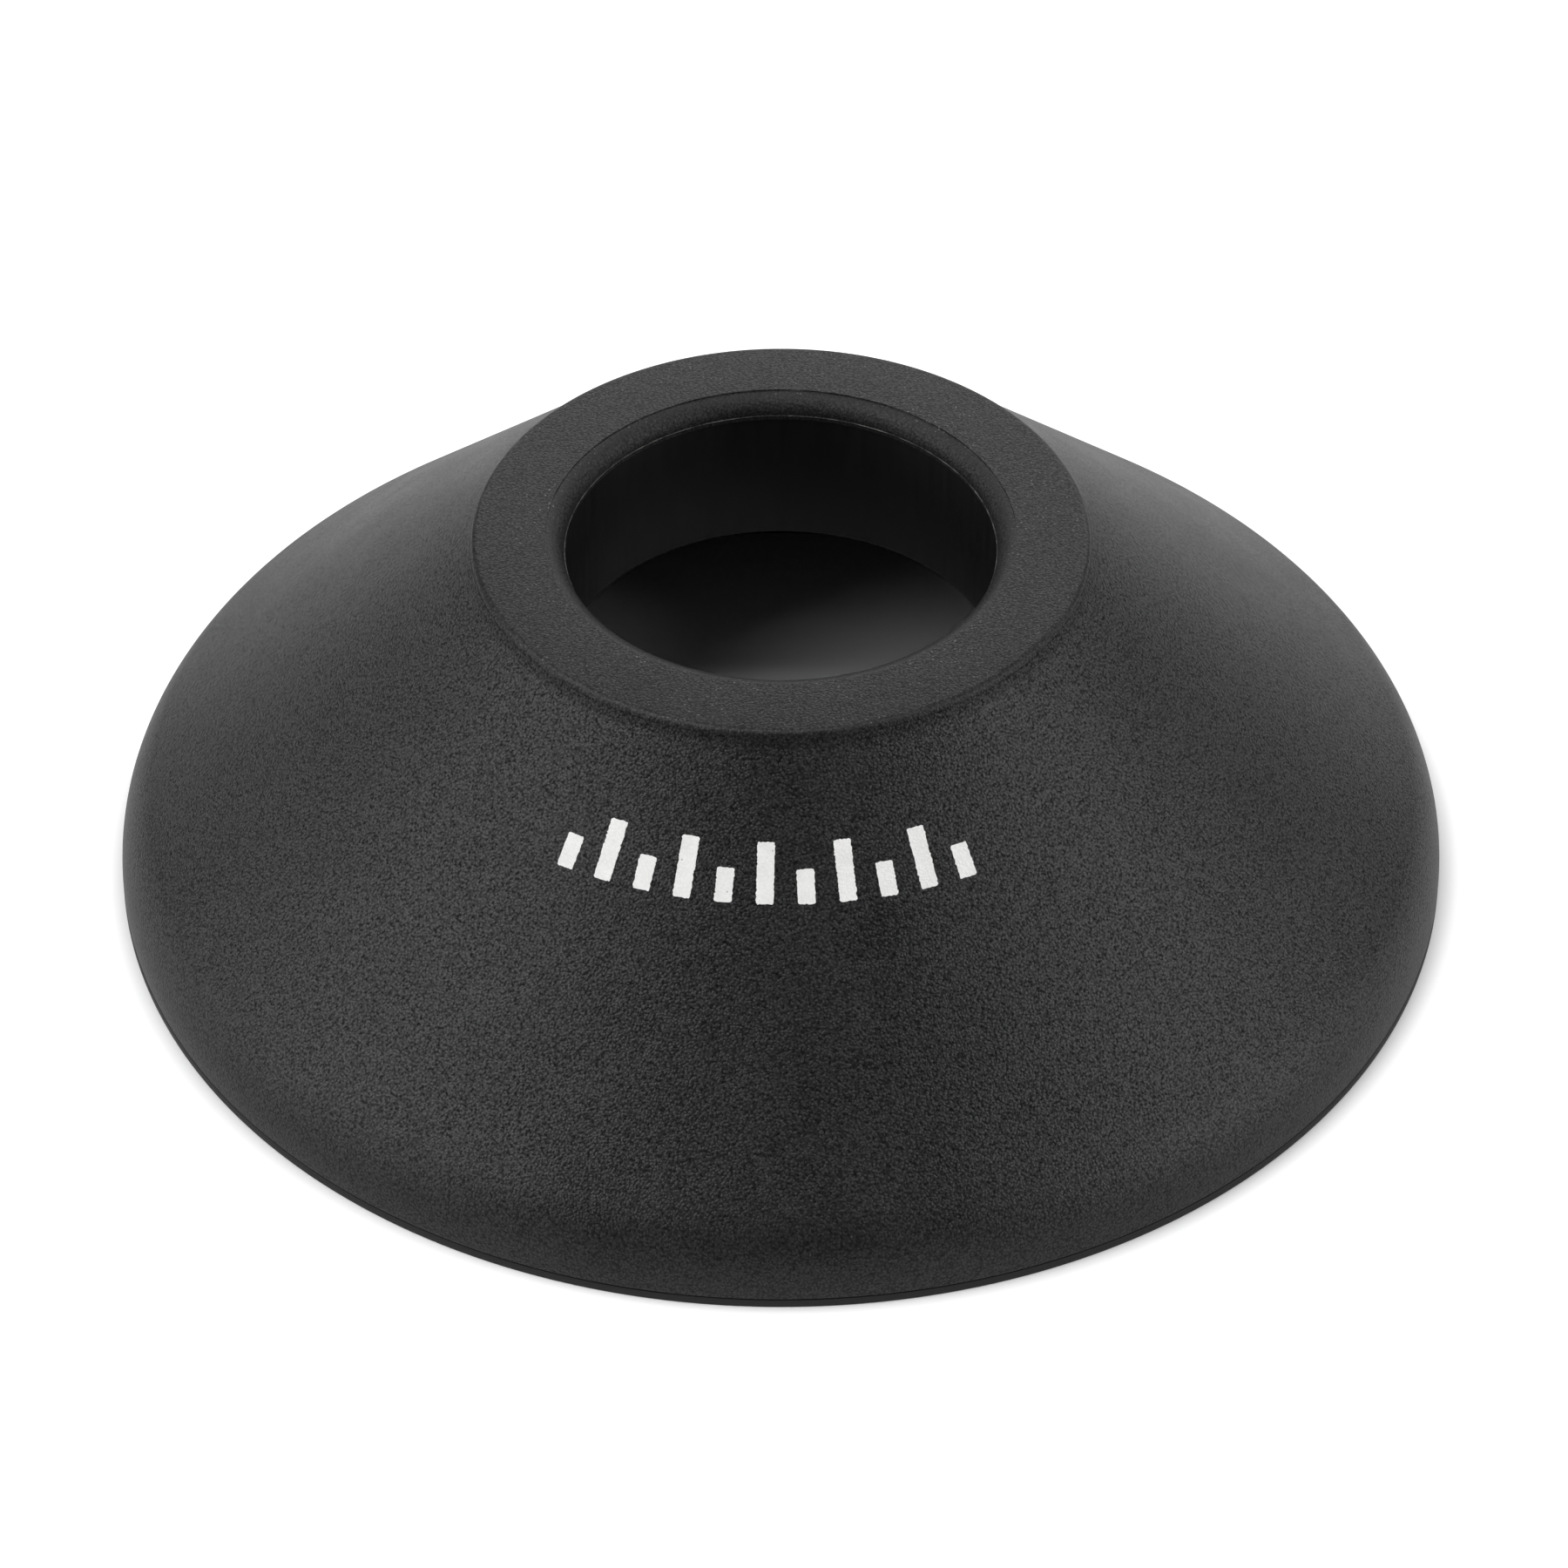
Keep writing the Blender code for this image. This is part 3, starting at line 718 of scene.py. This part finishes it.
class SNOOT_OT_ring(bpy.types.Operator):
    """Turn the mounting ring and cut its magnet pockets"""
    bl_idname = "snoot.ring"
    bl_label = "Mounting ring"

    def execute(self, context):
        cone, ring = context.scene.snoot_cone, context.scene.snoot_ring
        aperture = COVER_HIGH.x - ring.cover_width
        lip_r = aperture + ring.inner_lip
        carrier_z = KEEPER_LOW.z - ring.clearance
        shoulder = ring.wall_radius - 2 * ring.chamfer
        corners = [(aperture, RING_HIGH.z), (lip_r, RING_HIGH.z), (lip_r, carrier_z)]
        corners += [(shoulder - ring.chamfer, carrier_z), (shoulder, ring.seat_z)]
        corners += [(ring.wall_radius, ring.seat_z)]
        corners += snap_corners(ring.wall_radius, ring.snap_z, ring.snap_depth, ring.snap_half)
        corners += [(ring.wall_radius, ring.edge_top_z), (cone.foot_radius, ring.edge_top_z)]
        corners += [(cone.foot_radius, 0.0), (ring.socket_radius, 0.0)]
        corners += [(ring.socket_radius, ring.socket_depth), (aperture, ring.socket_depth)]
        edge, foot, socket, aperture_edge = corners[-5], corners[-4:-2], corners[-2], corners[-1]
        rounds = [(ring.rim_round, 2, [edge] + foot),
                  (ring.edge_round, 3, [aperture_edge, corners[0], corners[1]]),
                  (ring.socket_round, 2, [socket])]
        item = turned("mounting_ring", corners, cone.sides, rounds)
        self.cut_pockets(item, ring, carrier_z)
        place_piece(item, moulded_nylon(context.scene.snoot_finishes), ["mount_ring"])
        return {"FINISHED"}

    def cut_pockets(self, item, ring, carrier_z):
        """Cuts one blind pocket round each magnet, with copies of one cutter that reaches past the ring."""
        depth = carrier_z - ring.pocket_floor_z + ring.pocket_spare
        radius = ring.magnet_radius + ring.clearance
        deselect_all()
        bpy.ops.mesh.primitive_cylinder_add(vertices=48, radius=radius, depth=depth)
        first = named("pocket_cutter")
        cutters = [first]
        for _ in MAGNETS[1:]:
            make_active(first)
            bpy.ops.object.duplicate()
            cutters.append(bpy.context.object)
        for cutter, name in zip(cutters, MAGNETS):
            low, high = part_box(name)
            cutter.location = ((low.x + high.x) / 2, (low.y + high.y) / 2, ring.pocket_floor_z + depth / 2)
        make_active(first)
        for cutter in cutters:
            cutter.select_set(True)
        bpy.ops.object.join()
        make_active(item)
        cut = item.modifiers.new("pockets", "BOOLEAN")
        cut.operation = "DIFFERENCE"
        cut.solver = "EXACT"
        cut.object = first
        bpy.ops.object.modifier_apply(modifier=cut.name)
        bpy.data.objects.remove(first, do_unlink=True)
        bpy.ops.object.shade_smooth_by_angle(angle=SMOOTH_ANGLE)


class SNOOT_OT_cover(bpy.types.Operator):
    """Turn the thin cover over the steel ring"""
    bl_idname = "snoot.cover"
    bl_label = "Ring cover"

    def execute(self, context):
        cone, ring = context.scene.snoot_cone, context.scene.snoot_ring
        inner_r = COVER_HIGH.x - ring.cover_width
        corners = [(inner_r, COVER_HIGH.z), (COVER_HIGH.x, COVER_HIGH.z)]
        corners += [(COVER_HIGH.x, COVER_LOW.z), (inner_r, COVER_LOW.z)]
        item = turned("closing_ring", corners, cone.sides, [(ring.cover_round, 2, corners)])
        place_piece(item, moulded_nylon(context.scene.snoot_finishes), ["ring_cover"])
        return {"FINISHED"}


class SNOOT_OT_metal(bpy.types.Operator):
    """Give the magnets and the steel ring their metal finishes"""
    bl_idname = "snoot.metal"
    bl_label = "Magnets and steel ring"

    def execute(self, context):
        finishes = context.scene.snoot_finishes
        nickel = nickel_plate(finishes)
        for name in MAGNETS:
            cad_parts[name].material_slots[0].material = nickel
        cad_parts["steel_keeper"].material_slots[0].material = rolled_steel(finishes)
        return {"FINISHED"}


class SNOOT_OT_scale(bpy.types.Operator):
    """Print the plain index scale on the front of the flank"""
    bl_idname = "snoot.scale"
    bl_label = "Printed scale"

    def execute(self, context):
        cone, marks = context.scene.snoot_cone, context.scene.snoot_print
        long_side = (marks.outer_radius - marks.inner_radius) / cos(cone.flank_slope)
        pieces = []
        for index in range(-marks.marks_each_side, marks.marks_each_side + 1):
            share = marks.short_share if index % 2 else 1.0
            pieces.append(self.mark(cone, marks, index, long_side * share))
        deselect_all()
        for piece in pieces:
            piece.select_set(True)
        context.view_layer.objects.active = pieces[0]
        bpy.ops.object.join()
        item = named("printed_scale")
        bpy.ops.object.transform_apply(location=True, rotation=True, scale=True)
        place_piece(item, pad_ink(context.scene.snoot_finishes))
        return {"FINISHED"}

    def mark(self, cone, marks, index, long_side):
        """One mark: a flat patch with round corners and a ragged outline, raised and laid on the flank."""
        deselect_all()
        bpy.ops.mesh.primitive_plane_add(size=1.0, location=(0.0, 0.0, 0.0))
        piece = bpy.context.object
        piece.scale = (marks.stroke, long_side, 1.0)
        bpy.ops.object.transform_apply(scale=True)
        bpy.ops.object.mode_set(mode="EDIT")
        bpy.ops.mesh.select_mode(type="VERT")
        bpy.ops.mesh.select_all(action="SELECT")
        bpy.ops.mesh.bevel(offset=marks.corner, segments=3, affect="VERTICES")
        self.split_outline(piece, marks.wander)
        bpy.ops.mesh.select_all(action="SELECT")
        bpy.ops.transform.vertex_random(offset=marks.ragged, uniform=0.0, normal=0.0, seed=index + 40)
        bpy.ops.transform.resize(value=(1.0, 1.0, 0.0), center_override=(0.0, 0.0, 0.0))
        bpy.ops.mesh.extrude_region_move(TRANSFORM_OT_translate={"value": (0.0, 0.0, 2 * marks.ink)})
        bpy.ops.mesh.select_all(action="SELECT")
        bpy.ops.mesh.normals_make_consistent(inside=False)
        turn = marks.middle + index * marks.pitch
        middle_r = marks.outer_radius - long_side * cos(cone.flank_slope) / 2
        foot = (middle_r, flank_z(cone, middle_r))
        sink = (foot[0] - marks.ink * sin(cone.flank_slope), foot[1] - marks.ink * cos(cone.flank_slope))
        bpy.ops.object.mode_set(mode="OBJECT")
        piece.rotation_euler = (cone.flank_slope, 0.0, turn)
        piece.location = (sink[0] * sin(turn), -sink[0] * cos(turn), sink[1])
        return piece

    def split_outline(self, piece, longest):
        """Cuts each side of the outline into short lengths, so that it can wander."""
        work = bmesh.from_edit_mesh(piece.data)
        sides = sorted({round(edge.calc_length(), 7) for edge in work.edges})
        for side in [size for size in sides if size > longest * 1.5]:
            work = bmesh.from_edit_mesh(piece.data)
            for edge in work.edges:
                edge.select = abs(edge.calc_length() - side) < 1e-7
            bmesh.update_edit_mesh(piece.data)
            bpy.ops.mesh.subdivide(number_cuts=max(1, ceil(side / longest) - 1))


class SNOOT_OT_stage(bpy.types.Operator):
    """Lay the white floor and set the soft lights"""
    bl_idname = "snoot.stage"
    bl_label = "Floor and light"

    def execute(self, context):
        studio = context.scene.snoot_studio
        deselect_all()
        bpy.ops.mesh.primitive_plane_add(size=studio.floor_side)
        floor = named("studio_floor")
        floor.data.materials.append(studio_floor(context.scene.snoot_finishes, context.scene.snoot_cone))
        for name, azimuth, elevation, half_width, half_height, radiance in SOFTBOXES:
            self.softbox(name, radians(azimuth), radians(elevation), half_width, half_height, radiance)
        world = bpy.data.worlds.new("white_surround")
        world.use_nodes = True
        tree = world.node_tree
        seen = add(tree, "ShaderNodeLightPath")
        strength = add(tree, "ShaderNodeMapRange", {"Value": seen.outputs["Is Camera Ray"],
                                                    "To Min": studio.fill, "To Max": studio.sky})
        tree.links.new(strength.outputs[0], tree.nodes["Background"].inputs["Strength"])
        tree.nodes["Background"].inputs["Color"].default_value = (1.0, 1.0, 1.0, 1.0)
        context.scene.world = world
        context.scene.view_settings.view_transform = "Standard"
        return {"FINISHED"}

    def softbox(self, name, azimuth, elevation, half_width, half_height, radiance):
        """A rectangular light that faces the snoot. Azimuth 0 is the camera's side and 90 the right."""
        flat = LIGHT_REACH * cos(elevation)
        place = (flat * sin(azimuth), -flat * cos(azimuth), LIGHT_REACH * sin(elevation))
        bpy.ops.object.light_add(type="AREA", location=place,
                                 rotation=(pi / 2 - elevation, 0.0, azimuth))
        light = named(name)
        light.data.shape = "RECTANGLE"
        light.data.size = 2 * half_width * LIGHT_REACH
        light.data.size_y = 2 * half_height * LIGHT_REACH
        # The power that keeps the brightness the same at any size.
        light.data.energy = radiance * pi * light.data.size * light.data.size_y


class SNOOT_PT_panel(bpy.types.Panel):
    """Buttons for each piece of the snoot"""
    bl_idname = "SNOOT_PT_panel"
    bl_label = "Snoot"
    bl_space_type = "VIEW_3D"
    bl_region_type = "UI"
    bl_category = "Snoot"

    def draw(self, context):
        for operator in OPERATORS:
            self.layout.operator(operator.bl_idname)


GROUPS = {
    "snoot_cone": SnootConeSizes,
    "snoot_ring": SnootRingSizes,
    "snoot_liner": SnootLinerSizes,
    "snoot_print": SnootPrintSizes,
    "snoot_finishes": SnootFinishes,
    "snoot_studio": SnootStudio,
}
OPERATORS = (SNOOT_OT_camera, SNOOT_OT_cone, SNOOT_OT_liner, SNOOT_OT_ring, SNOOT_OT_cover,
             SNOOT_OT_metal, SNOOT_OT_scale, SNOOT_OT_stage)


def register():
    for group in GROUPS.values():
        bpy.utils.register_class(group)
    for name, group in GROUPS.items():
        setattr(bpy.types.Scene, name, PointerProperty(type=group))
    for operator in OPERATORS:
        bpy.utils.register_class(operator)
    bpy.utils.register_class(SNOOT_PT_panel)


def unregister():
    bpy.utils.unregister_class(SNOOT_PT_panel)
    for operator in reversed(OPERATORS):
        bpy.utils.unregister_class(operator)
    for name in GROUPS:
        delattr(bpy.types.Scene, name)
    for group in reversed(GROUPS.values()):
        bpy.utils.unregister_class(group)


def main():
    register()
    bpy.ops.snoot.camera()
    bpy.ops.snoot.cone()
    bpy.ops.snoot.liner()
    bpy.ops.snoot.ring()
    bpy.ops.snoot.cover()
    bpy.ops.snoot.metal()
    bpy.ops.snoot.scale()
    bpy.ops.snoot.stage()


if __name__ == "__main__":
    main()
